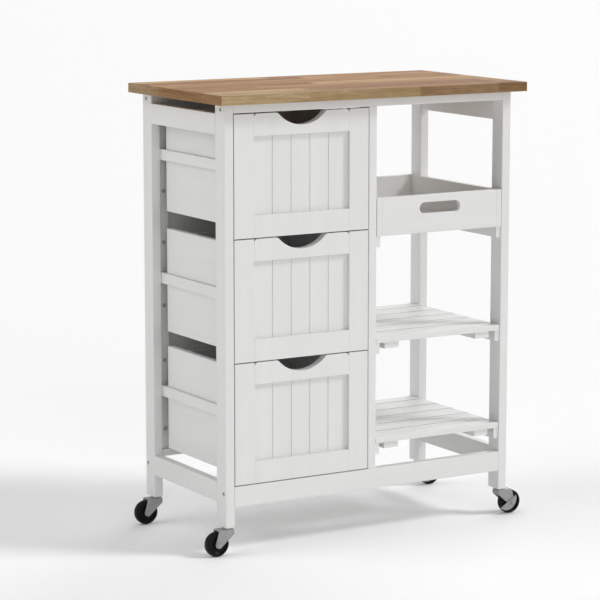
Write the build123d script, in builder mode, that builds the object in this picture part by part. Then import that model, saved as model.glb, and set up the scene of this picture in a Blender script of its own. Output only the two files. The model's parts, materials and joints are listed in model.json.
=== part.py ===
"""Rolling kitchen cart with a butcher-block top.

A post-and-rail frame on four swivel casters carries a glued hardwood top. The left bay holds
three drawers on side runners, the right bay a lift-out tray and two slatted shelves on cleats.
Millimetres, +Z up, +X to the right, the front faces -Y. The origin is on the floor, under the
centre of the top.
"""
from build123d import *
import os
from math import cos, radians, sin

os.makedirs("parts", exist_ok=True)

# ---- overall ------------------------------------------------------------------------------
overall_width = 673.1
overall_depth = 368.3
overall_height = 857.25

# ---- top board ----------------------------------------------------------------------------
top_thickness = 18.0
top_edge_round = 1.6
side_overhang = 20.2
front_overhang = 25.4
back_overhang = 21.5

# ---- frame stock --------------------------------------------------------------------------
post_width = 18.8
post_depth = 35.0
stile_width = 17.1
stile_offset = 2.3            # middle stiles stand this far right of centre
rail_thickness = 17.0
rail_height = 39.0
edge_round = 1.5

# ---- heights of the frame -----------------------------------------------------------------
front_rail_level = 90.5       # lower edge of the bottom front rail
side_rail_level = 97.0        # lower edge of the bottom side rails
back_rail_level = 132.5       # underside of the bottom back rail, which lies flat
back_rail_thickness = 14.0
side_rail_drop = 18.25        # open slot between the top and each top side rail

# ---- strips: runners, cleats and panel battens --------------------------------------------
strip_thickness = 10.0
strip_height = 20.5
cleat_height = 21.0
cleat_setback = 3.2           # cleat ends behind the front of the frame
batten_width = 20.0
panel_thickness = 6.0
panel_back_gap = 11.0         # back panel in front of the back of the posts

# ---- drawers ------------------------------------------------------------------------------
drawer_count = 3
drawer_gap = 2.0              # above, below and between the drawer fronts
drawer_side_gap = 1.5
front_thickness = 16.0
front_member = 41.5           # width of the stiles and rails of a drawer front
front_arris = 0.6
panel_recess = 7.5
bead_panel_thickness = 5.0
panel_tongue = 6.0            # how far the panel enters its frame
bead_pitch = 40.2
bead_count = 4
bead_width = 2.2
bead_depth = 1.2
scoop_chord = 104.0
scoop_depth = 24.2
scoop_corner = 8.0
box_side_thickness = 12.0
# lower, middle and upper drawer
box_rises = (20.3, 20.1, 23.0)           # box sides above each front's lower edge
box_top_drops = (7.2, 8.6, 13.8)         # box sides below each front's upper edge
box_back_drop = 12.0          # back board below the upper edge of the box sides
box_post_gap = 5.5            # box side to post
box_rear_gap = 22.4           # box to the battens behind it
box_bottom_thickness = 4.0
box_bottom_rise = 8.0
box_bottom_tongue = 5.0
runner_clearance = 0.4
runner_slack = 1.6            # groove below each runner
runner_heights = (131.5, 122.5, 130.5)   # runner centre above each front's lower edge
runner_front_clearance = 1.2

# ---- tray ---------------------------------------------------------------------------------
tray_level = 576.0            # top of the tray's cleats
tray_height = 73.0
tray_rear_gap = 7.0           # tray to the back of the frame
tray_wall = 11.0
tray_side_clearance = 1.0
tray_lift = 0.2               # running gap over the cleats
tray_bottom_thickness = 4.0
tray_bottom_rise = 6.0
tray_groove = 5.0
slot_length = 92.0
slot_height = 21.6
slot_drop = 25.5              # slot centre below the tray's upper edge

# ---- shelves ------------------------------------------------------------------------------
shelf_levels = (177.4, 371.6)            # tops of the shelf cleats
slat_thickness = 11.0
slat_width = 51.4
slat_gap = 3.2
slat_round = 2.4
slat_end_clearance = 1.0
shelf_front_setback = 1.2
shelf_rear_gap = 11.0         # rearmost slat to the back of the frame
shelf_batten_width = 32.0
shelf_batten_thickness = 13.0
shelf_batten_inset = 23.0
shelf_batten_setback = 6.0

# ---- fasteners ----------------------------------------------------------------------------
bolt_radius = 2.5
bolt_head_radius = 4.0
bolt_head_height = 3.0
bolt_length = 45.0
bolt_socket = 2.0             # half the hexagon across flats
bolt_socket_depth = 2.0
bolt_clearance = 0.1
bolt_inset = 14.5             # upper bolts from the front and back of the frame
upper_bolt_drop = 10.5        # upper bolts below the top
lower_bolt_rise = 26.5        # lower bolts above the lower edge of the front rail
plug_length = 9.0
screw_radius = 2.0
screw_head_radius = 4.0
screw_head_height = 2.2
top_screw_length = 28.0
batten_screw_length = 14.0
batten_screw_rises = (39.0, 174.5, 282.0, 405.0, 504.5)   # above the bottom back rail
top_screw_insets = (66.0, 262.0, 532.0)                   # from the left end of the top rails

# ---- casters ------------------------------------------------------------------------------
caster_axis_inset = 10.5      # swivel axis behind the front face of each post
caster_trail = 23.8           # axle behind the swivel axis
wheel_radius = 23.5
wheel_width = 17.0
wheel_shoulder = 3.6
hub_radius = 8.5
hub_width = 17.6
web_width = 12.0
rim_inner_radius = 17.5
axle_radius = 3.0
axle_head_radius = 4.6
axle_head_height = 1.2
wheel_bore_clearance = 0.08
axle_fit = 0.02
fork_steel = 2.0
fork_width = 22.0
fork_lead = 7.6               # fork plate ahead of the swivel axis
fork_tail = 23.2              # fork plate behind the swivel axis
fork_tip_radius = 7.0
fork_drop = 2.9               # fork plate below the post
wheel_top_gap = 1.2
fork_nose_drop = 8.0
stem_radius = 4.0
stem_clearance = 0.08
stem_in_post = 30.0
race_radius = 10.0
race_thickness = 1.5
neck_radius = 5.5
swivel_gap = 0.3
rivet_radius = 5.0
rivet_height = 2.8
brake_thickness = 1.8
brake_gap = 0.3
brake_radius = 22.5
brake_lead = 12.5
brake_rise = 7.3
brake_chord = 6.0
brake_boss_radius = 7.0
brake_angle = 32.0

# ---- planes and limits that follow from the sizes above -----------------------------------
caster_height = 2 * wheel_radius + wheel_top_gap + fork_steel + fork_drop
half_width = overall_width / 2 - side_overhang
frame_front = -overall_depth / 2 + front_overhang
frame_back = overall_depth / 2 - back_overhang
top_underside = overall_height - top_thickness
post_inner = half_width - post_width
front_post_back = frame_front + post_depth
back_post_front = frame_back - post_depth
stile_left = stile_offset - stile_width / 2
stile_right = stile_offset + stile_width / 2
top_rail_underside = top_underside - rail_thickness
front_rail_top = front_rail_level + rail_height
back_rail_top = back_rail_level + back_rail_thickness
side_rail_top = top_underside - side_rail_drop
upper_bolt_level = top_underside - upper_bolt_drop
lower_bolt_level = front_rail_level + lower_bolt_rise
panel_back = frame_back - panel_back_gap
panel_front = panel_back - panel_thickness
batten_front = panel_front - strip_thickness
left_bay = (-post_inner, stile_left)
right_bay = (stile_right, post_inner)


def middle(span):
    return (span[0] + span[1]) / 2


def length(span):
    return span[1] - span[0]


def board(x_span, y_span, z_span, along=None, radius=edge_round):
    """A straight board; the edges that run along the given axis are eased."""
    with BuildPart() as piece:
        with BuildSketch(Plane.XY.offset(z_span[0])):
            with Locations((middle(x_span), middle(y_span))):
                Rectangle(length(x_span), length(y_span))
        extrude(amount=length(z_span))
        if along is not None:
            fillet(piece.edges().filter_by(along), radius)
    return piece


def save(piece, name):
    piece.part.label = name
    export_step(piece.part, f"parts/{name}.step")


def side_plane(x, side):
    """Upright plane across X at x; its normal points outwards on that side."""
    return Plane(origin=(x, 0, 0), x_dir=(0, side, 0), z_dir=(side, 0, 0))


# ---- top ----------------------------------------------------------------------------------
with BuildPart() as top_board:
    with BuildSketch(Plane.XY.offset(top_underside)):
        Rectangle(overall_width, overall_depth)
    extrude(amount=top_thickness)
    fillet(top_board.edges().filter_by(Axis.Z), top_edge_round)
    fillet(top_board.faces().sort_by(Axis.Z)[-1].edges(), top_edge_round)
    fillet(top_board.faces().sort_by(Axis.Z)[0].edges(), top_edge_round / 2)
    # pilot holes for the screws that come up through the two top rails
    top_screw_places = []
    for rail_middle_y in (frame_front + rail_height / 2, frame_back - rail_height / 2):
        for inset in top_screw_insets:
            top_screw_places.append((inset - post_inner, rail_middle_y))
    with BuildSketch(Plane.XY.offset(top_underside)):
        with Locations(*top_screw_places):
            Circle(screw_radius)
    extrude(amount=top_screw_length - rail_thickness, mode=Mode.SUBTRACT)
save(top_board, "top_board")

# ---- posts --------------------------------------------------------------------------------
upper_bolt_y = (frame_front + bolt_inset, frame_back - bolt_inset)
lower_bolt_y = (frame_front + rail_thickness / 2, frame_back - rail_thickness / 2)
post_spans = {"front": (frame_front, front_post_back), "back": (back_post_front, frame_back)}
caster_axis_y = {name: span[0] + caster_axis_inset for name, span in post_spans.items()}
caster_axis_x = half_width - post_width / 2


def bolt_holes(side, which):
    """Heights and depths of the two bolt holes in one post."""
    row = 0 if which == "front" else 1
    upper = (upper_bolt_y[row], upper_bolt_level, post_width)
    lower_depth = post_width if which == "front" else plug_length
    lower = (lower_bolt_y[row], lower_bolt_level, lower_depth)
    return [(side, y, z, depth) for y, z, depth in (upper, lower)]


def make_post(side, which):
    x_span = tuple(sorted((side * half_width, side * post_inner)))
    with BuildPart() as post:
        with BuildSketch(Plane.XY.offset(caster_height)):
            with Locations((middle(x_span), middle(post_spans[which]))):
                Rectangle(post_width, post_depth)
        extrude(amount=top_underside - caster_height)
        fillet(post.edges().filter_by(Axis.Z), edge_round)
        outer = side_plane(side * half_width, side)
        for _, y, z, depth in bolt_holes(side, which):
            with BuildSketch(outer):
                with Locations((side * y, z)):
                    Circle(bolt_head_radius + bolt_clearance)
            extrude(amount=-bolt_head_height, mode=Mode.SUBTRACT)
            with BuildSketch(outer):
                with Locations((side * y, z)):
                    Circle(bolt_radius + bolt_clearance)
            extrude(amount=-depth, mode=Mode.SUBTRACT)
        # bore for the caster's stem
        with BuildSketch(Plane.XY.offset(caster_height)):
            with Locations((side * caster_axis_x, caster_axis_y[which])):
                Circle(stem_radius + bolt_clearance)
        extrude(amount=stem_in_post, mode=Mode.SUBTRACT)
    return post


for side, side_name in ((-1, "left"), (1, "right")):
    for which in ("front", "back"):
        save(make_post(side, which), f"{side_name}_{which}_post")

# ---- middle stiles ------------------------------------------------------------------------
stile_span = (stile_left, stile_right)
save(board(stile_span, post_spans["front"], (front_rail_top, top_rail_underside), Axis.Z),
     "middle_front_stile")
save(board(stile_span, post_spans["back"], (back_rail_top, top_rail_underside), Axis.Z),
     "middle_back_stile")

# ---- front and back rails -----------------------------------------------------------------
rail_span = (-post_inner, post_inner)


def make_cross_rail(y_span, z_span, bolt_y, bolt_z, screws):
    """A rail between the posts, drilled at both ends and, if it carries the top, from below."""
    with BuildPart() as rail:
        with BuildSketch(Plane.XY.offset(z_span[0])):
            with Locations((0, middle(y_span))):
                Rectangle(length(rail_span), length(y_span))
        extrude(amount=length(z_span))
        fillet(rail.edges().filter_by(Axis.X), edge_round)
        if bolt_z is not None:
            for side in (-1, 1):
                with BuildSketch(side_plane(side * post_inner, side)):
                    with Locations((side * bolt_y, bolt_z)):
                        Circle(bolt_radius + bolt_clearance)
                extrude(amount=-(bolt_length - post_width), mode=Mode.SUBTRACT)
        if screws:
            places = [place for place in top_screw_places if y_span[0] < place[1] < y_span[1]]
            with BuildSketch(Plane.XY.offset(z_span[0])):
                with Locations(*places):
                    Circle(screw_radius + bolt_clearance)
            extrude(amount=rail_thickness, mode=Mode.SUBTRACT)
            with BuildSketch(Plane.XY.offset(z_span[0])):
                with Locations(*places):
                    Circle(screw_head_radius + bolt_clearance)
            extrude(amount=screw_head_height, mode=Mode.SUBTRACT)
    return rail


top_rail_z = (top_rail_underside, top_underside)
save(make_cross_rail((frame_front, frame_front + rail_height), top_rail_z,
                     upper_bolt_y[0], upper_bolt_level, True), "top_front_rail")
save(make_cross_rail((frame_back - rail_height, frame_back), top_rail_z,
                     upper_bolt_y[1], upper_bolt_level, True), "top_back_rail")
save(make_cross_rail((frame_front, frame_front + rail_thickness), (front_rail_level, front_rail_top),
                     lower_bolt_y[0], lower_bolt_level, False), "bottom_front_rail")
save(make_cross_rail(post_spans["back"], (back_rail_level, back_rail_top),
                     0, None, False), "bottom_back_rail")

# ---- side rails ---------------------------------------------------------------------------
side_rail_y = (front_post_back, back_post_front)
for side, side_name in ((-1, "left"), (1, "right")):
    x_span = tuple(sorted((side * half_width, side * (half_width - rail_thickness))))
    save(board(x_span, side_rail_y, (side_rail_top - rail_height, side_rail_top), Axis.Y),
         f"{side_name}_top_rail")
    save(board(x_span, side_rail_y, (side_rail_level, side_rail_level + rail_height), Axis.Y),
         f"{side_name}_bottom_rail")

# ---- back panel with its battens ----------------------------------------------------------
batten_z = (back_rail_top, top_rail_underside)
batten_middles = (left_bay[0] + batten_width / 2, left_bay[1] - batten_width / 2)
batten_screw_places = [(x, back_rail_top + rise) for x in batten_middles
                       for rise in batten_screw_rises]
front_view = Plane(origin=(0, batten_front, 0), x_dir=(1, 0, 0), z_dir=(0, -1, 0))
screw_tip = batten_screw_length - strip_thickness

with BuildPart() as back_panel:
    with BuildSketch(Plane.XY.offset(back_rail_top)):
        with Locations((middle(left_bay), (panel_front + panel_back) / 2)):
            Rectangle(length(left_bay), panel_thickness)
    extrude(amount=length(batten_z))
    with BuildSketch(front_view.offset(-strip_thickness)):
        with Locations(*batten_screw_places):
            Circle(screw_radius)
    extrude(amount=-screw_tip, mode=Mode.SUBTRACT)
save(back_panel, "back_panel")

with BuildPart() as panel_battens:
    with BuildSketch(Plane.XY.offset(back_rail_top)):
        with Locations(*[(x, batten_front + strip_thickness / 2) for x in batten_middles]):
            Rectangle(batten_width, strip_thickness)
    extrude(amount=length(batten_z))
    with BuildSketch(front_view):
        with Locations(*batten_screw_places):
            Circle(screw_radius + bolt_clearance)
    extrude(amount=-strip_thickness, mode=Mode.SUBTRACT)
    with BuildSketch(front_view):
        with Locations(*batten_screw_places):
            Circle(screw_head_radius + bolt_clearance)
    extrude(amount=-screw_head_height, mode=Mode.SUBTRACT)
save(panel_battens, "panel_battens")

# ---- fasteners ----------------------------------------------------------------------------
with BuildPart() as frame_bolts:
    for side in (-1, 1):
        outer = side_plane(side * half_width, side)
        for which in ("front", "back"):
            for _, y, z, depth in bolt_holes(side, which):
                shank = bolt_length if depth > plug_length else plug_length
                with BuildSketch(outer):
                    with Locations((side * y, z)):
                        Circle(bolt_radius)
                extrude(amount=-shank)
                with BuildSketch(outer):
                    with Locations((side * y, z)):
                        Circle(bolt_head_radius)
                extrude(amount=-bolt_head_height)
                with BuildSketch(outer):
                    with Locations((side * y, z)):
                        RegularPolygon(bolt_socket, 6, major_radius=False)
                extrude(amount=-bolt_socket_depth, mode=Mode.SUBTRACT)
save(frame_bolts, "frame_bolts")

with BuildPart() as top_screws:
    with BuildSketch(Plane.XY.offset(top_rail_underside)):
        with Locations(*top_screw_places):
            Circle(screw_head_radius)
    extrude(amount=screw_head_height)
    with BuildSketch(Plane.XY.offset(top_rail_underside)):
        with Locations(*top_screw_places):
            Circle(screw_radius)
    extrude(amount=top_screw_length)
save(top_screws, "top_screws")

with BuildPart() as batten_screws:
    with BuildSketch(front_view):
        with Locations(*batten_screw_places):
            Circle(screw_head_radius)
    extrude(amount=-screw_head_height)
    with BuildSketch(front_view):
        with Locations(*batten_screw_places):
            Circle(screw_radius)
    extrude(amount=-batten_screw_length)
save(batten_screws, "batten_screws")

# ---- drawer openings ----------------------------------------------------------------------
opening_height = top_rail_underside - front_rail_top
front_height = (opening_height - (drawer_count + 1) * drawer_gap) / drawer_count
front_pitch = front_height + drawer_gap
front_levels = [front_rail_top + drawer_gap + row * front_pitch for row in range(drawer_count)]
front_x = (left_bay[0] + drawer_side_gap, left_bay[1] - drawer_side_gap)
front_back = frame_front + front_thickness
runner_y = (front_back + runner_front_clearance, batten_front)
runner_levels = [low + rise for low, rise in zip(front_levels, runner_heights)]

with BuildPart() as drawer_runners:
    for wall_x, inward in ((left_bay[0], 1), (left_bay[1], -1)):
        with BuildSketch(Plane.XZ.offset(-runner_y[1])):
            with Locations(*[(wall_x + inward * strip_thickness / 2, z) for z in runner_levels]):
                Rectangle(strip_thickness, strip_height)
        extrude(amount=length(runner_y))
save(drawer_runners, "drawer_runners")

# ---- cleats of the right bay --------------------------------------------------------------
cleat_tops = (tray_level, *shelf_levels)
cleat_y = (frame_front + cleat_setback, frame_back - cleat_setback)

with BuildPart() as bay_cleats:
    for wall_x, inward in ((right_bay[0], 1), (right_bay[1], -1)):
        with BuildSketch(Plane.XZ.offset(-cleat_y[1])):
            with Locations(*[(wall_x + inward * strip_thickness / 2, z - cleat_height / 2)
                             for z in cleat_tops]):
                Rectangle(strip_thickness, cleat_height)
        extrude(amount=length(cleat_y))
save(bay_cleats, "bay_cleats")

# ---- slatted shelves ----------------------------------------------------------------------
slat_x = (right_bay[0] + slat_end_clearance, right_bay[1] - slat_end_clearance)
shelf_front = frame_front + shelf_front_setback
shelf_back = frame_back - shelf_rear_gap
slat_pitch = slat_width + slat_gap
whole_slats = int((shelf_back - shelf_front + slat_gap) // slat_pitch)
slat_edges = [(shelf_back - row * slat_pitch - slat_width, shelf_back - row * slat_pitch)
              for row in range(whole_slats)]
# a narrower slat fills what is left in front
narrow_slat = (shelf_front, slat_edges[-1][0] - slat_gap)
if length(narrow_slat) > 3 * slat_round:
    slat_edges.append(narrow_slat)
batten_offsets = (right_bay[0] + shelf_batten_inset + shelf_batten_width / 2,
                  right_bay[1] - shelf_batten_inset - shelf_batten_width / 2)
shelf_batten_y = (frame_front + shelf_batten_setback, shelf_back)


def make_slats(level):
    with BuildPart() as slats:
        for edges in slat_edges:
            with BuildSketch(Plane.XY.offset(level)):
                with Locations((middle(slat_x), middle(edges))):
                    Rectangle(length(slat_x), length(edges))
            extrude(amount=slat_thickness)
        fillet(slats.edges().filter_by(Axis.X).group_by(Axis.Z)[-1], slat_round)
    return slats


def make_shelf_battens(level):
    with BuildPart() as battens:
        with BuildSketch(Plane.XY.offset(level - shelf_batten_thickness)):
            with Locations(*[(x, middle(shelf_batten_y)) for x in batten_offsets]):
                Rectangle(shelf_batten_width, length(shelf_batten_y))
        extrude(amount=shelf_batten_thickness)
    return battens


for level, shelf_name in zip(shelf_levels, ("lower", "upper")):
    save(make_slats(level), f"{shelf_name}_shelf_slats")
    save(make_shelf_battens(level), f"{shelf_name}_shelf_battens")

# ---- drawers ------------------------------------------------------------------------------
opening_x = (front_x[0] + front_member, front_x[1] - front_member)
panel_front_y = frame_front + panel_recess
panel_y = (panel_front_y, panel_front_y + bead_panel_thickness)
box_x = (left_bay[0] + box_post_gap, left_bay[1] - box_post_gap)
box_y = (front_back, batten_front - box_rear_gap)
box_length = length(box_y)
box_spans = [(low + rise, low + front_height - drop)
             for low, rise, drop in zip(front_levels, box_rises, box_top_drops)]
runner_groove_depth = strip_thickness + runner_clearance - box_post_gap
inner_x = (box_x[0] + box_side_thickness, box_x[1] - box_side_thickness)
scoop_radius = (scoop_chord ** 2 / 4 + scoop_depth ** 2) / (2 * scoop_depth)


def panel_blank(low):
    """The flat panel before beading; it also cuts the groove it stands in."""
    x_span = (opening_x[0] - panel_tongue, opening_x[1] + panel_tongue)
    z_span = (low + front_member - panel_tongue, low + front_height - front_member + panel_tongue)
    return board(x_span, panel_y, z_span).part


def make_front_stile(x_span, low):
    blank = panel_blank(low)
    with BuildPart() as stile:
        with BuildSketch(Plane.XY.offset(low)):
            with Locations((middle(x_span), frame_front + front_thickness / 2)):
                Rectangle(length(x_span), front_thickness)
        extrude(amount=front_height)
        fillet(stile.faces().sort_by(Axis.Y)[0].edges(), front_arris)
        add(blank, mode=Mode.SUBTRACT)
    return stile


def make_front_rail(z_span, low, scooped):
    blank = panel_blank(low)
    with BuildPart() as rail:
        with BuildSketch(Plane.XY.offset(z_span[0])):
            with Locations((middle(opening_x), frame_front + front_thickness / 2)):
                Rectangle(length(opening_x), front_thickness)
        extrude(amount=length(z_span))
        if scooped:
            with BuildSketch(Plane.XZ.offset(-front_back)):
                with Locations((middle(opening_x), z_span[1] - scoop_depth + scoop_radius)):
                    Circle(scoop_radius)
            extrude(amount=front_thickness, mode=Mode.SUBTRACT)
            lips = rail.edges().filter_by(Axis.Y).filter_by(
                lambda edge: abs(edge.center().Z - z_span[1]) < front_arris
                and abs(edge.center().X - middle(opening_x)) < scoop_chord)
            fillet(lips, scoop_corner)
        fillet(rail.faces().sort_by(Axis.Y)[0].edges(), front_arris)
        add(blank, mode=Mode.SUBTRACT)
    return rail


def make_front_frame(low):
    high = low + front_height
    members = [
        make_front_stile((front_x[0], opening_x[0]), low),
        make_front_stile((opening_x[1], front_x[1]), low),
        make_front_rail((low, low + front_member), low, False),
        make_front_rail((high - front_member, high), low, True),
    ]
    return Compound(children=[member.part.solid() for member in members])


def make_bead_panel(low):
    blank = panel_blank(low)
    with BuildPart() as panel:
        add(blank)
        with BuildSketch(Plane.XY.offset(low)):
            with Locations((middle(opening_x), panel_y[0])):
                with GridLocations(bead_pitch, 0, bead_count, 1):
                    Rectangle(bead_width, 2 * bead_depth)
        extrude(amount=front_height, mode=Mode.SUBTRACT)
    return panel


def make_box_side(side, box_z, runner_level):
    outer_x = box_x[0] if side < 0 else box_x[1]
    x_span = tuple(sorted((outer_x, outer_x - side * box_side_thickness)))
    floor = box_z[0] + box_bottom_rise
    groove_height = strip_height + runner_clearance + runner_slack
    with BuildPart() as wall:
        with BuildSketch(Plane.XY.offset(box_z[0])):
            with Locations((middle(x_span), middle(box_y))):
                Rectangle(box_side_thickness, box_length)
        extrude(amount=length(box_z))
        fillet(wall.faces().sort_by(Axis.Z)[-1].edges().filter_by(Axis.Y), edge_round)
        with BuildSketch(Plane.XZ.offset(-box_y[1])):
            with Locations((outer_x, runner_level + (runner_clearance - runner_slack) / 2)):
                Rectangle(2 * runner_groove_depth, groove_height)
            with Locations((outer_x - side * box_side_thickness, floor + box_bottom_thickness / 2)):
                Rectangle(2 * box_bottom_tongue, box_bottom_thickness)
        extrude(amount=box_length, mode=Mode.SUBTRACT)
    return wall


def make_box_back(box_z):
    floor = box_z[0] + box_bottom_rise + box_bottom_thickness
    back_y = (box_y[1] - box_side_thickness, box_y[1])
    return board(inner_x, back_y, (floor, box_z[1] - box_back_drop), Axis.X)


def make_box_bottom(box_z):
    floor = box_z[0] + box_bottom_rise
    bottom_x = (inner_x[0] - box_bottom_tongue, inner_x[1] + box_bottom_tongue)
    return board(bottom_x, box_y, (floor, floor + box_bottom_thickness))


drawer_names = ("lower_drawer", "middle_drawer", "upper_drawer")
for name, low, box_z, runner_level in zip(drawer_names, front_levels, box_spans, runner_levels):
    front_frame = make_front_frame(low)
    front_frame.label = f"{name}_front_frame"
    export_step(front_frame, f"parts/{name}_front_frame.step")
    save(make_bead_panel(low), f"{name}_front_panel")
    save(make_box_side(-1, box_z, runner_level), f"{name}_left_side")
    save(make_box_side(1, box_z, runner_level), f"{name}_right_side")
    save(make_box_back(box_z), f"{name}_back")
    save(make_box_bottom(box_z), f"{name}_bottom")

# ---- tray ---------------------------------------------------------------------------------
tray_x = (right_bay[0] + tray_side_clearance, right_bay[1] - tray_side_clearance)
tray_y = (frame_front, frame_back - tray_rear_gap)
tray_z = (tray_level + tray_lift, tray_level + tray_lift + tray_height)
tray_inner_x = (tray_x[0] + tray_wall, tray_x[1] - tray_wall)
tray_floor_z = (tray_z[0] + tray_bottom_rise, tray_z[0] + tray_bottom_rise + tray_bottom_thickness)


tray_bottom_x = (tray_inner_x[0] - tray_groove, tray_inner_x[1] + tray_groove)
tray_bottom_y = (tray_y[0] + tray_wall - tray_groove, tray_y[1] - tray_wall + tray_groove)
tray_bottom = board(tray_bottom_x, tray_bottom_y, tray_floor_z)
save(tray_bottom, "tray_bottom")


def make_tray_side(x_span):
    with BuildPart() as wall:
        with BuildSketch(Plane.XY.offset(tray_z[0])):
            with Locations((middle(x_span), middle(tray_y))):
                Rectangle(tray_wall, length(tray_y))
        extrude(amount=tray_height)
        fillet(wall.edges().filter_by(Axis.Y), edge_round)
        fillet(wall.faces().sort_by(Axis.Y)[0].edges().filter_by(Axis.Z), front_arris)
        add(tray_bottom.part, mode=Mode.SUBTRACT)
    return wall


def make_tray_end(y_span):
    with BuildPart() as wall:
        with BuildSketch(Plane.XY.offset(tray_z[0])):
            with Locations((middle(tray_x), middle(y_span))):
                Rectangle(length(tray_inner_x), tray_wall)
        extrude(amount=tray_height)
        fillet(wall.edges().filter_by(Axis.X), edge_round)
        fillet(wall.edges().filter_by(Axis.Z).group_by(Axis.Y)[0], front_arris)
        with BuildSketch(Plane.XZ.offset(-y_span[1])):
            with Locations((middle(tray_x), tray_z[1] - slot_drop)):
                SlotOverall(slot_length, slot_height)
        extrude(amount=tray_wall, mode=Mode.SUBTRACT)
        rims = wall.edges().filter_by(
            lambda edge: abs(edge.center().Z - (tray_z[1] - slot_drop)) < slot_height
            and abs(edge.center().X - middle(tray_x)) < slot_length
            and abs(abs(edge.center().Y - middle(y_span)) - tray_wall / 2) < front_arris / 10)
        fillet(rims, edge_round)
        add(tray_bottom.part, mode=Mode.SUBTRACT)
    return wall


save(make_tray_side((tray_x[0], tray_inner_x[0])), "tray_left_side")
save(make_tray_side((tray_inner_x[1], tray_x[1])), "tray_right_side")
save(make_tray_end((tray_y[0], tray_y[0] + tray_wall)), "tray_front")
save(make_tray_end((tray_y[1] - tray_wall, tray_y[1])), "tray_back")

# ---- casters ------------------------------------------------------------------------------
fork_top = caster_height - fork_drop
fork_under = fork_top - fork_steel
cheek_face = fork_width / 2
axle_point = (caster_trail, wheel_radius)


def trail_plane(axis, trail):
    """Upright plane through a swivel axis; its x runs the way the wheel trails, its y up."""
    return Plane(origin=(axis[0], axis[1], 0), x_dir=(trail, 0, 0), z_dir=(0, -trail, 0))


def make_fork(axis, trail, braked):
    side_view = trail_plane(axis, trail)
    near = -1 if trail < 0 else 1
    with BuildPart() as fork:
        with BuildSketch(side_view):
            with Locations(axle_point):
                Circle(fork_tip_radius)
            with Locations((-fork_lead + fork_steel, fork_top - fork_nose_drop)):
                Circle(fork_steel)
            with Locations(((fork_tail - fork_lead) / 2, fork_top - fork_steel / 2)):
                Rectangle(fork_tail + fork_lead, fork_steel)
            make_hull()
        extrude(amount=cheek_face, both=True)
        # the space between the cheeks: open behind, closed in front above the wheel
        with BuildSketch(side_view):
            with Locations(((fork_tail * 2 - fork_lead + fork_steel) / 2, fork_under / 2)):
                Rectangle(fork_tail * 2 + fork_lead - fork_steel, fork_under)
        extrude(amount=cheek_face - fork_steel, both=True, mode=Mode.SUBTRACT)
        with BuildSketch(Plane.XY.offset(fork_under)):
            with Locations(axis):
                Circle(stem_radius + stem_clearance)
        extrude(amount=fork_steel, mode=Mode.SUBTRACT)
        with BuildSketch(side_view):
            with Locations(axle_point):
                Circle(axle_radius + axle_fit)
        extrude(amount=cheek_face, both=True, mode=Mode.SUBTRACT)
        # riveted axle, its heads outside the cheeks
        head_face = cheek_face + axle_fit
        brake_room = brake_thickness + 2 * brake_gap if braked else 0
        for direction in (1, -1):
            reach = head_face + (brake_room if direction == near else 0)
            with BuildSketch(side_view):
                with Locations(axle_point):
                    Circle(axle_radius)
            extrude(amount=direction * (reach + axle_head_height))
            with BuildSketch(side_view.offset(direction * reach)):
                with Locations(axle_point):
                    Circle(axle_head_radius)
            extrude(amount=direction * axle_head_height)
    return fork


def make_wheel(axis, trail):
    centre = (axis[0] + trail * caster_trail, axis[1], wheel_radius)
    half = wheel_width / 2
    bore = axle_radius + wheel_bore_clearance
    with BuildPart() as wheel:
        with BuildSketch(Plane(origin=centre, x_dir=(1, 0, 0), z_dir=(0, 0, 1))):
            with BuildLine():
                Polyline((bore, 0), (bore, hub_width / 2), (hub_radius, hub_width / 2),
                         (hub_radius + 1, web_width / 2), (rim_inner_radius - 1, web_width / 2),
                         (rim_inner_radius, half), (wheel_radius - wheel_shoulder, half))
                RadiusArc((wheel_radius - wheel_shoulder, half),
                          (wheel_radius, half - wheel_shoulder), wheel_shoulder)
                Polyline((wheel_radius, half - wheel_shoulder), (wheel_radius, 0), (bore, 0))
            make_face()
            mirror(about=Plane.XZ)
        revolve(axis=Axis(centre, (0, 1, 0)))
    return wheel


def make_brake_lever(axis, trail):
    """Half-moon side brake, hung off-centre on the axle's near end."""
    side_view = trail_plane(axis, trail)
    near = -1 if trail < 0 else 1
    tilt = radians(brake_angle)
    disc = (axle_point[0] - brake_lead, axle_point[1] + brake_rise)
    back = brake_radius - brake_chord
    above = (disc[0] - back * sin(tilt), disc[1] + back * cos(tilt))
    with BuildPart() as lever:
        with BuildSketch(side_view.offset(near * (cheek_face + brake_gap))):
            with Locations(disc):
                Circle(brake_radius)
            with Locations(above):
                Rectangle(3 * brake_radius, 2 * brake_radius, rotation=brake_angle,
                          mode=Mode.SUBTRACT)
            with Locations(axle_point):
                Circle(brake_boss_radius)
                Circle(axle_radius + wheel_bore_clearance, mode=Mode.SUBTRACT)
        extrude(amount=near * brake_thickness)
    return lever


caster_places = {}
for side, side_name in ((-1, "left"), (1, "right")):
    for which in ("front", "back"):
        caster_places[f"{side_name}_{which}"] = ((side * caster_axis_x, caster_axis_y[which]), side)

for name, (axis, trail) in caster_places.items():
    braked = trail > 0
    save(make_fork(axis, trail, braked), f"{name}_caster_fork")
    save(make_wheel(axis, trail), f"{name}_wheel")
    if braked:
        save(make_brake_lever(axis, trail), f"{name}_brake_lever")

with BuildPart() as caster_stems:
    stem_places = [axis for axis, _ in caster_places.values()]
    stem_layers = (
        (stem_radius, fork_under - swivel_gap, caster_height + stem_in_post),
        (rivet_radius, fork_under - swivel_gap - rivet_height, fork_under - swivel_gap),
        (neck_radius, fork_top + swivel_gap, caster_height - race_thickness),
        (race_radius, caster_height - race_thickness, caster_height),
    )
    for radius, low, high in stem_layers:
        with BuildSketch(Plane.XY.offset(low)):
            with Locations(*stem_places):
                Circle(radius)
        extrude(amount=high - low)
save(caster_stems, "caster_stems")
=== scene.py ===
import json
import math

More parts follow.
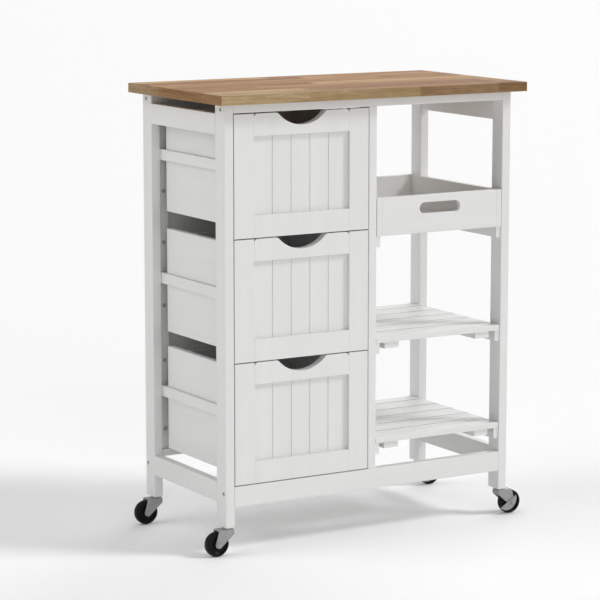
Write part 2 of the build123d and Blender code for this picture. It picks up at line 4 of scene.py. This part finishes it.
import bmesh
import bpy
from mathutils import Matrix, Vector


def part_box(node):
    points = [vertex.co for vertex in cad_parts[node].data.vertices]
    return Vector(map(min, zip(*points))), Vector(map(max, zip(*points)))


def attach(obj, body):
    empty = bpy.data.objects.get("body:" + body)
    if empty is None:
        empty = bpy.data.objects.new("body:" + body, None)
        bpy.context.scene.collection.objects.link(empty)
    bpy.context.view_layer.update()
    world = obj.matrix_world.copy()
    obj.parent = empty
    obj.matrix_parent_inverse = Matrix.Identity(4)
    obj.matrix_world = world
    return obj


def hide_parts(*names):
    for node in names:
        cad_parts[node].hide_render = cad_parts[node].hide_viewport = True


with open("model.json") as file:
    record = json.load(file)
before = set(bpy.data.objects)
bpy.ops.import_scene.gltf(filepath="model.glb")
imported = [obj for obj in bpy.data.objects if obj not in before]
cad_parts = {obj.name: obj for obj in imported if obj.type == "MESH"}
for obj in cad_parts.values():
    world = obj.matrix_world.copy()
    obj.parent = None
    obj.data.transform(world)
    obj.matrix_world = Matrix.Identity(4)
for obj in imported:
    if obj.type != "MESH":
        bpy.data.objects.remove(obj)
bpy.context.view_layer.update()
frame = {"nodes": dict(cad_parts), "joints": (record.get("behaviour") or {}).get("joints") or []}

NODES = frame["nodes"]

DRAWERS = ("lower_drawer", "middle_drawer", "upper_drawer")
CORNERS = ("left_front", "left_back", "right_front", "right_back")
BRAKED_CORNERS = ("right_front", "right_back")
SHELVES = ("upper_shelf_slats", "lower_shelf_slats")


# ---- shader helpers -----------------------------------------------------------------------

def new_group(name, inputs, outputs):
    """An empty shader group with typed, named sockets; returns it with its two end nodes."""
    group = bpy.data.node_groups.new(name, "ShaderNodeTree")
    for label, kind, default in inputs:
        socket = group.interface.new_socket(label, in_out="INPUT", socket_type=kind)
        if default is not None:
            socket.default_value = default
    for label, kind in outputs:
        group.interface.new_socket(label, in_out="OUTPUT", socket_type=kind)
    return group, group.nodes.new("NodeGroupInput"), group.nodes.new("NodeGroupOutput")


class Wiring:
    """Places and joins nodes in one tree; a value fed to a socket is a number, a colour or a link."""

    def __init__(self, tree):
        self.tree = tree

    def node(self, kind, settings=None, **inputs):
        made = self.tree.nodes.new(kind)
        for key, value in (settings or {}).items():
            setattr(made, key, value)
        for key, value in inputs.items():
            self.feed(made.inputs[key], value)
        return made

    def feed(self, socket, value):
        if isinstance(value, bpy.types.NodeSocket):
            self.tree.links.new(value, socket)
        else:
            socket.default_value = value

    def math(self, operation, *values, clamp=False):
        made = self.tree.nodes.new("ShaderNodeMath")
        made.operation = operation
        made.use_clamp = clamp
        for socket, value in zip(made.inputs, values):
            self.feed(socket, value)
        return made.outputs[0]

    def vector(self, operation, first, second):
        made = self.tree.nodes.new("ShaderNodeVectorMath")
        made.operation = operation
        self.feed(made.inputs[0], first)
        self.feed(made.inputs[1], second)
        return made.outputs[0]

    def mix(self, factor, first, second, blend="MIX"):
        made = self.tree.nodes.new("ShaderNodeMix")
        made.data_type = "RGBA"
        made.blend_type = blend
        self.feed(made.inputs[0], factor)
        self.feed(made.inputs[6], first)
        self.feed(made.inputs[7], second)
        return made.outputs[2]

    def remap(self, value, low, high, to_low, to_high):
        made = self.tree.nodes.new("ShaderNodeMapRange")
        made.clamp = True
        for key, item in (("Value", value), ("From Min", low), ("From Max", high),
                          ("To Min", to_low), ("To Max", to_high)):
            self.feed(made.inputs[key], item)
        return made.outputs[0]

    def ramp(self, factor, stops):
        made = self.tree.nodes.new("ShaderNodeValToRGB")
        self.feed(made.inputs[0], factor)
        elements = made.color_ramp.elements
        while len(elements) < len(stops):
            elements.new(0.5)
        for element, (place, colour) in zip(elements, stops):
            element.position = place
            element.color = (*colour, 1.0)
        return made.outputs[0]


def new_material(name):
    made = bpy.data.materials.new(name)
    made.use_nodes = True
    made.node_tree.nodes.clear()
    wires = Wiring(made.node_tree)
    shader = wires.node("ShaderNodeBsdfPrincipled")
    end = wires.node("ShaderNodeOutputMaterial")
    made.node_tree.links.new(shader.outputs[0], end.inputs[0])
    return made, wires, shader


# ---- shared effects -----------------------------------------------------------------------

def brushed_paint_group():
    """Paint laid along a board: faint tone drift, brush tracks and the wood grain under it."""
    group, start, end = new_group(
        "brushed_paint",
        [("Place", "NodeSocketVector", None), ("Grain Scale", "NodeSocketFloat", 1.0)],
        [("Tone", "NodeSocketFloat"), ("Sheen Break", "NodeSocketFloat"), ("Height", "NodeSocketFloat")])
    w = Wiring(group)
    place = start.outputs["Place"]
    scale = start.outputs["Grain Scale"]
    tracks = w.node("ShaderNodeTexNoise", Vector=place, Scale=scale, Detail=6.0, Roughness=0.6)
    drift = w.node("ShaderNodeTexNoise", Vector=place, Scale=w.math("MULTIPLY", scale, 0.06),
                   Detail=2.0, Roughness=0.5)
    pores = w.node("ShaderNodeTexNoise", Vector=place, Scale=w.math("MULTIPLY", scale, 3.2),
                   Detail=3.0, Roughness=0.7)
    tone = w.math("ADD", w.math("MULTIPLY", tracks.outputs[0], 0.35),
                  w.math("MULTIPLY", drift.outputs[0], 0.65))
    w.feed(end.inputs["Tone"], tone)
    w.feed(end.inputs["Sheen Break"], tracks.outputs[0])
    height = w.math("ADD", w.math("MULTIPLY", tracks.outputs[0], 0.7),
                    w.math("MULTIPLY", pores.outputs[0], 0.3))
    w.feed(end.inputs["Height"], height)
    return group


def mottle_group():
    """Blotches and fine speckle, for plated steel and moulded plastic."""
    group, start, end = new_group(
        "mottle",
        [("Place", "NodeSocketVector", None), ("Blotch Scale", "NodeSocketFloat", 300.0),
         ("Speckle Scale", "NodeSocketFloat", 1800.0)],
        [("Blotch", "NodeSocketFloat"), ("Speckle", "NodeSocketFloat")])
    w = Wiring(group)
    cells = w.node("ShaderNodeTexVoronoi", Vector=start.outputs["Place"],
                   Scale=start.outputs["Blotch Scale"])
    fine = w.node("ShaderNodeTexNoise", Vector=start.outputs["Place"],
                  Scale=start.outputs["Speckle Scale"], Detail=4.0, Roughness=0.7)
    grey = w.node("ShaderNodeSeparateColor", Color=cells.outputs["Color"])
    w.feed(end.inputs["Blotch"], grey.outputs[0])
    w.feed(end.inputs["Speckle"], fine.outputs[0])
    return group


BRUSHED_PAINT = brushed_paint_group()
MOTTLE = mottle_group()


def use_group(wires, group, **inputs):
    made = wires.node("ShaderNodeGroup", {"node_tree": group})
    for key, value in inputs.items():
        wires.feed(made.inputs[key.replace("_", " ")], value)
    return made


# ---- materials ----------------------------------------------------------------------------

WHITE = (0.755, 0.755, 0.745)
PAINT_ROUGHNESS = 0.42
TRACK_STRETCH = 0.045         # brush tracks are about 22 times as long as they are wide
SLAT_WIDTH = 0.0514
SLAT_GAP = 0.0032
EDGE_DEPTH = 0.00008          # how deep into a slat the painted gap shade on its edges reaches
SLATS_LOW, SLATS_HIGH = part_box(SHELVES[0])


def painted_gap_shade(w, place, tone):
    """Paints shade onto the slat edges that face a gap, where the gaps fall dark; the outer two edges stay
    unshaded.
    """
    front, back = SLATS_LOW[1], SLATS_HIGH[1]
    pitch = SLAT_WIDTH + SLAT_GAP
    y = w.node("ShaderNodeSeparateXYZ", Vector=place).outputs["Y"]
    turns = w.math("DIVIDE", w.math("SUBTRACT", y, front), pitch)
    into = w.math("MULTIPLY", w.math("SUBTRACT", turns, w.math("FLOOR", turns)), pitch)
    at_edge = w.math("ADD", w.math("LESS_THAN", into, EDGE_DEPTH),
                     w.math("GREATER_THAN", into, SLAT_WIDTH - EDGE_DEPTH), clamp=True)
    inner = w.math("MULTIPLY", w.math("GREATER_THAN", y, front + 0.5 * SLAT_WIDTH),
                   w.math("LESS_THAN", y, back - 0.5 * SLAT_WIDTH))
    # painted shade: gap edges are mixed most of the way to near black
    return w.mix(w.math("MULTIPLY", w.math("MULTIPLY", at_edge, inner), 0.85), tone,
                 (0.10, 0.10, 0.10, 1.0))


def painted_wood(name, along, on_slats=False):
    """Satin white paint whose brush tracks run along one axis of the cart."""
    made, w, shader = new_material(name)
    place = w.node("ShaderNodeTexCoord").outputs["Object"]
    stretch = [1.0, 1.0, 1.0]
    stretch["XYZ".index(along)] = TRACK_STRETCH
    mapped = w.node("ShaderNodeMapping", Vector=place, Scale=stretch)
    paint = use_group(w, BRUSHED_PAINT, Place=mapped.outputs[0], Grain_Scale=620.0)
    dark = tuple(c * 0.955 for c in WHITE)
    tone = w.mix(w.remap(paint.outputs["Tone"], 0.3, 0.7, 0.0, 1.0), (*dark, 1.0), (*WHITE, 1.0))
    # slats get painted shade along the edges at their gaps
    if on_slats:
        tone = painted_gap_shade(w, place, tone)
    w.feed(shader.inputs["Base Color"], tone)
    w.feed(shader.inputs["Roughness"],
           w.remap(paint.outputs["Sheen Break"], 0.3, 0.7, PAINT_ROUGHNESS - 0.06, PAINT_ROUGHNESS + 0.08))
    bump = w.node("ShaderNodeBump", Height=paint.outputs["Height"], Strength=0.16, Distance=0.0006)
    w.feed(shader.inputs["Normal"], bump.outputs[0])
    shader.inputs["IOR"].default_value = 1.46
    return made


STAVE = 0.0409                # width of one stave
STAVE_LENGTH = 0.42
GLUE_LINE = 0.0005
BUTT_LINE = 0.0008
BOARD_LOW, BOARD_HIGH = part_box("top_board")
ROUNDING = 0.0012             # how far the eased edges reach into each face
FRONT_JOINT = 0.091           # butt joint in the front stave
END_JOINT = 0.061             # where the pale staves start on the ends
# small dark checks in the front stave: place along it, height against the top face, and size
CHECKS = ((0.170, -0.0060, 0.0016), (0.3285, -0.0052, 0.0030), (0.245, -0.0130, 0.0011))


def wood_grain_group():
    """Straight-grained hardwood: broad figure, thin growth lines and open pores."""
    group, start, end = new_group(
        "wood_grain",
        [("Place", "NodeSocketVector", None), ("Figure Scale", "NodeSocketFloat", 60.0)],
        [("Figure", "NodeSocketFloat"), ("Lines", "NodeSocketFloat"), ("Pores", "NodeSocketFloat")])
    w = Wiring(group)
    place = start.outputs["Place"]
    scale = start.outputs["Figure Scale"]
    figure = w.node("ShaderNodeTexNoise", Vector=place, Scale=scale, Detail=4.0, Roughness=0.55,
                    Distortion=0.8)
    lines = w.node("ShaderNodeTexNoise", Vector=place, Scale=w.math("MULTIPLY", scale, 5.5),
                   Detail=5.0, Roughness=0.65, Distortion=0.3)
    pores = w.node("ShaderNodeTexNoise", Vector=place, Scale=w.math("MULTIPLY", scale, 16.0),
                   Detail=3.0, Roughness=0.7)
    w.feed(end.inputs["Figure"], figure.outputs[0])
    w.feed(end.inputs["Lines"], lines.outputs[0])
    w.feed(end.inputs["Pores"], pores.outputs[0])
    return group


WOOD_GRAIN = wood_grain_group()


def butcher_block(name):
    """Oiled staves glued edge to edge, each with its own length, tone and grain."""
    made, w, shader = new_material(name)
    place = w.node("ShaderNodeTexCoord").outputs["Object"]
    x, y, _ = w.node("ShaderNodeSeparateXYZ", Vector=place).outputs

    # which stave and block a point is in
    across = w.math("DIVIDE", w.math("SUBTRACT", y, BOARD_LOW[1]), STAVE)
    row = w.math("FLOOR", across)
    in_row = w.math("SUBTRACT", across, row)
    row_noise = w.node("ShaderNodeTexWhiteNoise", {"noise_dimensions": "1D"},
                       W=w.math("ADD", row, 0.37))
    slid = w.math("MULTIPLY_ADD", row_noise.outputs["Value"], STAVE_LENGTH, w.math("ADD", x, 1.0))
    along = w.math("DIVIDE", slid, STAVE_LENGTH)
    block = w.math("FLOOR", along)
    in_block = w.math("SUBTRACT", along, block)
    key = w.node("ShaderNodeCombineXYZ", X=row, Y=block, Z=7.0)
    own = w.node("ShaderNodeTexWhiteNoise", {"noise_dimensions": "3D"}, Vector=key.outputs[0])

    # masks for the ends and the front edge of the board
    end_face = w.math("ADD", w.math("LESS_THAN", x, BOARD_LOW[0] + ROUNDING),
                      w.math("GREATER_THAN", x, BOARD_HIGH[0] - ROUNDING), clamp=True)
    front_face = w.math("LESS_THAN", y, BOARD_LOW[1] + ROUNDING)
    front_row = w.math("LESS_THAN", across, 1.0)

    # grain runs along X, and along Y on the ends
    shift = w.node("ShaderNodeVectorMath", {"operation": "SCALE"}, Vector=own.outputs["Color"],
                   Scale=9.0)
    moved = w.vector("ADD", place, shift.outputs[0])
    long_grain = w.node("ShaderNodeMapping", Vector=moved, Scale=(0.07, 1.0, 1.0))
    end_grain = w.node("ShaderNodeMapping", Vector=place, Location=(0.3, 0.1, 0.2),
                       Scale=(1.0, 0.10, 2.2))
    vector = w.mix(end_face, long_grain.outputs[0], end_grain.outputs[0])
    grain = use_group(w, WOOD_GRAIN, Place=vector, Figure_Scale=70.0)

    top_tone = w.ramp(own.outputs["Value"], [
        (0.0, (0.290, 0.138, 0.050)), (0.3, (0.395, 0.205, 0.080)),
        (0.65, (0.455, 0.258, 0.108)), (1.0, (0.590, 0.390, 0.185))])
    pale = (0.430, 0.315, 0.175, 1.0)
    fading = w.mix(w.remap(x, BOARD_LOW[0], 0.08, 1.0, 0.0), (0.330, 0.222, 0.115, 1.0), pale)
    front_tone = w.mix(w.math("GREATER_THAN", x, FRONT_JOINT), fading, (0.245, 0.148, 0.072, 1.0))
    strip_end = w.remap(w.math("ADD", x, w.math("MULTIPLY", grain.outputs["Figure"], 0.25)),
                        -0.10, 0.04, 1.0, 0.0)
    strip_tone = w.mix(strip_end, top_tone, pale)
    end_tone = w.mix(w.math("GREATER_THAN", y, END_JOINT), (0.285, 0.158, 0.068, 1.0),
                     (0.315, 0.215, 0.115, 1.0))
    tone = w.mix(front_row, top_tone, strip_tone)
    tone = w.mix(front_face, tone, front_tone)
    tone = w.mix(end_face, tone, end_tone)

    # figure: orange-brown clouds with darker cores, then fine growth lines
    clouds = w.ramp(grain.outputs["Figure"], [
        (0.26, (0.50, 0.36, 0.24)), (0.40, (0.84, 0.75, 0.64)), (0.52, (1.0, 1.0, 1.0)),
        (0.64, (1.16, 1.22, 1.30)), (0.80, (1.25, 1.36, 1.50))])
    strength = w.math("SUBTRACT", 0.95, w.math("MULTIPLY", front_face, 0.35))
    figured = w.mix(strength, tone, clouds, "MULTIPLY")
    thin = w.remap(grain.outputs["Lines"], 0.36, 0.56, 0.74, 1.06)
    line_tint = w.node("ShaderNodeCombineColor", Red=thin, Green=w.math("POWER", thin, 1.25),
                       Blue=w.math("POWER", thin, 1.5))
    lined = w.mix(0.85, figured, line_tint.outputs[0], "MULTIPLY")
    pore = w.remap(grain.outputs["Pores"], 0.34, 0.50, 0.80, 1.0)
    pore_tint = w.node("ShaderNodeCombineColor", Red=pore, Green=pore, Blue=pore)
    fibred = w.mix(0.6, lined, pore_tint.outputs[0], "MULTIPLY")

    # checks in the front stave
    check = 0.0
    for along_x, below_top, size in CHECKS:
        apart = w.vector("SUBTRACT", place, (along_x, BOARD_LOW[1], BOARD_HIGH[2] + below_top))
        squeezed = w.node("ShaderNodeMapping", Vector=apart, Scale=(0.45, 0.35, 1.0))
        far = w.node("ShaderNodeVectorMath", {"operation": "LENGTH"}, Vector=squeezed.outputs[0])
        spot = w.remap(far.outputs["Value"], 0.2 * size, size, 1.0, 0.0)
        check = w.math("MAXIMUM", check, spot)
    checked = w.mix(w.math("MULTIPLY", check, 0.6), fibred, (0.085, 0.045, 0.022, 1.0))

    # glue lines
    near_side = w.math("MULTIPLY", w.math("MINIMUM", in_row, w.math("SUBTRACT", 1.0, in_row)), STAVE)
    near_end = w.math("MULTIPLY", w.math("MINIMUM", in_block, w.math("SUBTRACT", 1.0, in_block)),
                      STAVE_LENGTH)
    on_top = w.math("SUBTRACT", 1.0, w.math("ADD", end_face, front_face, clamp=True))
    near_front = w.math("ABSOLUTE", w.math("SUBTRACT", x, FRONT_JOINT))
    top_line = w.math("MULTIPLY", on_top,
                      w.remap(w.math("MINIMUM", near_side, near_end), 0.0, GLUE_LINE, 1.0, 0.0))
    front_line = w.math("MULTIPLY", front_face, w.remap(near_front, 0.0, BUTT_LINE, 1.0, 0.0))
    joint = w.math("MAXIMUM", top_line, front_line)
    jointed = w.mix(w.math("MULTIPLY", joint, 0.35), checked, (0.16, 0.08, 0.035, 1.0))

    w.feed(shader.inputs["Base Color"], jointed)
    w.feed(shader.inputs["Roughness"], w.remap(grain.outputs["Pores"], 0.3, 0.7, 0.66, 0.52))
    height = w.math("SUBTRACT", w.math("ADD", w.math("MULTIPLY", grain.outputs["Pores"], 0.5),
                                       w.math("MULTIPLY", grain.outputs["Lines"], 0.3)),
                    w.math("MULTIPLY", joint, 0.6))
    bump = w.node("ShaderNodeBump", Height=height, Strength=0.22, Distance=0.0006)
    w.feed(shader.inputs["Normal"], bump.outputs[0])
    shader.inputs["Specular IOR Level"].default_value = 0.16
    return made


def plated_steel(name, colour, roughness, metallic, contrast):
    """Zinc plate: a fine spangle over an even grey."""
    made, w, shader = new_material(name)
    place = w.node("ShaderNodeTexCoord").outputs["Object"]
    spots = use_group(w, MOTTLE, Place=place, Blotch_Scale=900.0, Speckle_Scale=1500.0)
    dark = tuple(c * (1.0 - contrast) for c in colour)
    light = tuple(c * (1.0 + 0.5 * contrast) for c in colour)
    mixed = w.math("ADD", w.math("MULTIPLY", spots.outputs["Blotch"], 0.7),
                   w.math("MULTIPLY", spots.outputs["Speckle"], 0.3))
    w.feed(shader.inputs["Base Color"], w.mix(mixed, (*dark, 1.0), (*light, 1.0)))
    w.feed(shader.inputs["Roughness"],
           w.remap(spots.outputs["Blotch"], 0.0, 1.0, roughness - 0.06, roughness + 0.10))
    bump = w.node("ShaderNodeBump", Height=spots.outputs["Speckle"], Strength=0.12, Distance=0.0003)
    w.feed(shader.inputs["Normal"], bump.outputs[0])
    shader.inputs["Metallic"].default_value = metallic
    return made


def moulded_black(name):
    """Black moulded plastic: a soft gloss with a fine sparkle and faint scuffing."""
    made, w, shader = new_material(name)
    place = w.node("ShaderNodeTexCoord").outputs["Object"]
    spots = use_group(w, MOTTLE, Place=place, Blotch_Scale=120.0, Speckle_Scale=2200.0)
    w.feed(shader.inputs["Base Color"],
           w.mix(spots.outputs["Speckle"], (0.002, 0.002, 0.0022, 1.0), (0.005, 0.005, 0.0052, 1.0)))
    w.feed(shader.inputs["Roughness"],
           w.remap(spots.outputs["Speckle"], 0.3, 0.7, 0.30, 0.44))
    bump = w.node("ShaderNodeBump", Height=spots.outputs["Speckle"], Strength=0.1, Distance=0.0002)
    w.feed(shader.inputs["Normal"], bump.outputs[0])
    shader.inputs["Specular IOR Level"].default_value = 0.16
    return made


PAINT = {axis: painted_wood(f"white_paint_along_{axis.lower()}", axis) for axis in "XYZ"}
SLAT_PAINT = painted_wood("white_paint_on_slats", "X", on_slats=True)
WOOD = butcher_block("butcher_block")
FORK_STEEL = plated_steel("zinc_plate", (0.36, 0.36, 0.365), 0.50, 0.30, 0.40)
RING_STEEL = plated_steel("ring_steel", (0.42, 0.42, 0.43), 0.36, 0.75, 0.20)
BOLT_STEEL = plated_steel("bolt_plate", (0.42, 0.42, 0.43), 0.42, 0.35, 0.15)
WHEEL_BLACK = moulded_black("wheel_black")


def dress(name, material):
    mesh = NODES[name].data
    mesh.materials.clear()
    mesh.materials.append(material)


# ---- finishes of the frame's own nodes ----------------------------------------------------

ALONG_X = ["top_front_rail", "top_back_rail", "bottom_front_rail", "bottom_back_rail",
           "tray_front", "tray_back"]
ALONG_Y = ["left_top_rail", "left_bottom_rail", "right_top_rail", "right_bottom_rail",
           "drawer_runners", "bay_cleats", "upper_shelf_battens", "lower_shelf_battens",
           "tray_left_side", "tray_right_side", "tray_bottom"]
ALONG_Z = ["left_front_post", "left_back_post", "right_front_post", "right_back_post",
           "middle_front_stile", "middle_back_stile", "panel_battens", "back_panel"]
for drawer in DRAWERS:
    ALONG_X.append(f"{drawer}_back")
    ALONG_Y += [f"{drawer}_left_side", f"{drawer}_right_side", f"{drawer}_bottom"]
    ALONG_Z += [f"{drawer}_front_frame", f"{drawer}_front_panel"]

for axis, names in (("X", ALONG_X), ("Y", ALONG_Y), ("Z", ALONG_Z)):
    for node_name in names:
        dress(node_name, PAINT[axis])
for node_name in SHELVES:
    dress(node_name, SLAT_PAINT)
dress("top_board", WOOD)
for node_name in ("frame_bolts", "top_screws", "batten_screws"):
    dress(node_name, BOLT_STEEL)
dress("caster_stems", FORK_STEEL)
for corner in CORNERS:
    dress(f"{corner}_caster_fork", FORK_STEEL)
    dress(f"{corner}_wheel", WHEEL_BLACK)
for corner in BRAKED_CORNERS:
    dress(f"{corner}_brake_lever", FORK_STEEL)


# ---- caster details -----------------------------------------------------------------------

SHARP_ANGLE = math.radians(35.0)     # edges sharper than this are shaded sharp
EASED_ANGLE = math.radians(50.0)     # edges sharper than this are rounded over
FLAT_ANGLE = math.radians(1.0)
WELD = 0.000001
MERGE = 0.00001
FORK_EASING = 0.0004
BRAKE_EASING = 0.0003
RING_LIFT = 0.00005                  # the ring floats this far over the fork
RING_CLEARANCE = 0.00165             # and stays this far below the post


def angle_over(edge, limit):
    return len(edge.link_faces) == 2 and edge.calc_face_angle() > limit


def finished(name, work, material):
    """Turns a bmesh into a piece: welded, facing outwards, smooth but for its sharp edges."""
    bmesh.ops.remove_doubles(work, verts=work.verts, dist=WELD)
    bmesh.ops.recalc_face_normals(work, faces=work.faces)
    for face in work.faces:
        face.smooth = True
    for edge in work.edges:
        edge.smooth = not angle_over(edge, SHARP_ANGLE)
    mesh = bpy.data.meshes.new(name)
    work.to_mesh(mesh)
    work.free()
    mesh.materials.append(material)
    piece = bpy.data.objects.new(name, mesh)
    bpy.context.collection.objects.link(piece)
    return piece


def turned(profile, centre, axis, steps):
    """Spins a closed outline of (radius, distance along the axis) points about an axis."""
    work = bmesh.new()
    across = Vector((0.0, 0.0, 1.0)) if abs(axis.z) < 0.5 else Vector((1.0, 0.0, 0.0))
    ring = [work.verts.new(centre + across * radius + axis * along) for radius, along in profile]
    edges = [work.edges.new((ring[i - 1], ring[i])) for i in range(len(ring))]
    bmesh.ops.spin(work, geom=ring + edges, cent=centre, axis=axis, angle=math.tau, steps=steps,
                   use_merge=True)
    return work


def caster_wheel(corner):
    """Moulded wheel: crowned tread, thin side bead, dished web and a raised hub."""
    node = f"{corner}_wheel"
    low, high = (Vector(v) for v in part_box(node))
    centre = (low + high) / 2
    radius = (high.z - low.z) / 2
    hub_face = (high.y - low.y) / 2
    bore, hub, rim = 0.00312, 0.0086, 0.0172       # radii
    web, side = 0.0052, 0.0084                     # distances from the middle plane
    half = [(bore, hub_face), (hub - 0.0006, hub_face), (hub, hub_face - 0.0006),
            (hub + 0.0007, web + 0.0008), (hub + 0.0016, web),
            (rim - 0.0016, web), (rim - 0.0005, web + 0.0008),
            (rim, side - 0.0006), (rim + 0.0006, side),
            (radius - 0.0040, side), (radius - 0.0024, side - 0.0007),
            (radius - 0.0010, side - 0.0022), (radius - 0.0002, side - 0.0042),
            (radius, side - 0.0066)]
    outline = half + [(r, -along) for r, along in reversed(half)]
    work = turned(outline, centre, Vector((0.0, 1.0, 0.0)), 72)
    piece = finished(f"{corner}_moulded_wheel", work, WHEEL_BLACK)
    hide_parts(node)
    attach(piece, node)


def raceway_ring(corner):
    """Pressed ring that holds the swivel's balls between the fork and the post."""
    fork_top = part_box(f"{corner}_caster_fork")[1][2]
    post_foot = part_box(f"{corner}_post")[0][2]
    swivel = next(j for j in frame["joints"] if j["name"] == f"{corner}_caster_swivel")
    x, y = swivel["pos_m"][:2]
    foot = fork_top + RING_LIFT
    tall = post_foot - RING_CLEARANCE - foot
    outline = [(0.0062, 0.0), (0.0094, 0.0), (0.0098, 0.25 * tall), (0.0096, 0.75 * tall),
               (0.0088, tall), (0.0068, tall), (0.0062, 0.8 * tall)]
    work = turned(outline, Vector((x, y, foot)), Vector((0.0, 0.0, 1.0)), 48)
    piece = finished(f"{corner}_raceway_ring", work, RING_STEEL)
    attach(piece, f"{corner}_caster")


def eased_copy(node, body, width):
    """Stands in for a pressed-steel node with a merged copy whose sharp edges are rounded over."""
    work = bmesh.new()
    work.from_mesh(NODES[node].data)
    bmesh.ops.remove_doubles(work, verts=work.verts, dist=MERGE)
    bmesh.ops.dissolve_limit(work, angle_limit=FLAT_ANGLE, verts=work.verts, edges=work.edges)
    sharp = [edge for edge in work.edges if angle_over(edge, EASED_ANGLE)]
    bmesh.ops.bevel(work, geom=sharp, offset=width, offset_type="OFFSET", segments=2, profile=0.5,
                    affect="EDGES", material=-1, clamp_overlap=True)
    piece = finished(f"{node}_pressed", work, FORK_STEEL)
    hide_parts(node)
    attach(piece, body)


for corner in CORNERS:
    caster_wheel(corner)
    raceway_ring(corner)
    eased_copy(f"{corner}_caster_fork", f"{corner}_caster", FORK_EASING)
for corner in BRAKED_CORNERS:
    eased_copy(f"{corner}_brake_lever", f"{corner}_brake", BRAKE_EASING)


# ---- studio -------------------------------------------------------------------------------

def studio_floor():
    """A wide pale floor under the cart."""
    work = bmesh.new()
    bmesh.ops.create_grid(work, x_segments=1, y_segments=1, size=30.0)
    mesh = bpy.data.meshes.new("studio_floor")
    work.to_mesh(mesh)
    work.free()
    floor = bpy.data.objects.new("studio_floor", mesh)
    bpy.context.collection.objects.link(floor)
    made, w, shader = new_material("floor_pale")
    place = w.node("ShaderNodeTexCoord").outputs["Object"]
    cloud = w.node("ShaderNodeTexNoise", Vector=place, Scale=3.0, Detail=2.0)
    w.feed(shader.inputs["Base Color"],
           w.mix(cloud.outputs[0], (0.955, 0.955, 0.955, 1.0), (0.97, 0.97, 0.97, 1.0)))
    shader.inputs["Roughness"].default_value = 0.9
    mesh.materials.append(made)


# azimuth (0 is straight in front, 90 is the right side), height and spread in degrees; strength
SOFT_LIGHTS = {
    "key_light": (54.7, 40.9, 16.0, 1.50),
    "right_back_fill": (120.0, 15.0, 45.0, 1.38),
    "back_fill": (150.0, 15.0, 45.0, 0.38),
    "left_high_fill": (-100.0, 50.0, 45.0, 0.67),
    "left_low_fill": (-115.0, 15.0, 45.0, 0.42),
    "front_fill": (-10.0, 15.0, 45.0, 0.62),
}


def soft_light(name, azimuth, height, spread, strength):
    """A broad lamp far away in the given direction."""
    data = bpy.data.lights.new(name, "SUN")
    data.angle = math.radians(spread)
    data.energy = strength
    lamp = bpy.data.objects.new(name, data)
    turn, rise = math.radians(azimuth), math.radians(height)
    towards = Vector((math.sin(turn) * math.cos(rise), -math.cos(turn) * math.cos(rise),
                      math.sin(rise)))
    lamp.rotation_euler = towards.to_track_quat("Z", "Y").to_euler()
    bpy.context.collection.objects.link(lamp)


def studio_light():
    for name, values in SOFT_LIGHTS.items():
        soft_light(name, *values)
    world = bpy.data.worlds.new("studio_air")
    world.use_nodes = True
    back = world.node_tree.nodes["Background"]
    back.inputs[0].default_value = (1.0, 1.0, 1.0, 1.0)
    back.inputs[1].default_value = 0.27
    bpy.context.scene.world = world
    view = bpy.context.scene.view_settings
    view.view_transform = "Standard"
    view.look = "None"


LOOKING_DOWN = 9.216          # degrees
TURNED_RIGHT = 30.68          # degrees


def studio_camera():
    """Looks down a little from the front left, from about five metres away."""
    data = bpy.data.cameras.new("view_from_front_left")
    data.lens = 152.27
    data.sensor_width = 36.0
    data.clip_end = 100.0
    camera = bpy.data.objects.new("view_from_front_left", data)
    camera.location = (-2.5322, -4.1620, 1.2245)
    camera.rotation_euler = (math.radians(90.0 - LOOKING_DOWN), 0.0, math.radians(-TURNED_RIGHT))
    bpy.context.collection.objects.link(camera)
    bpy.context.scene.camera = camera


studio_floor()
studio_light()
studio_camera()
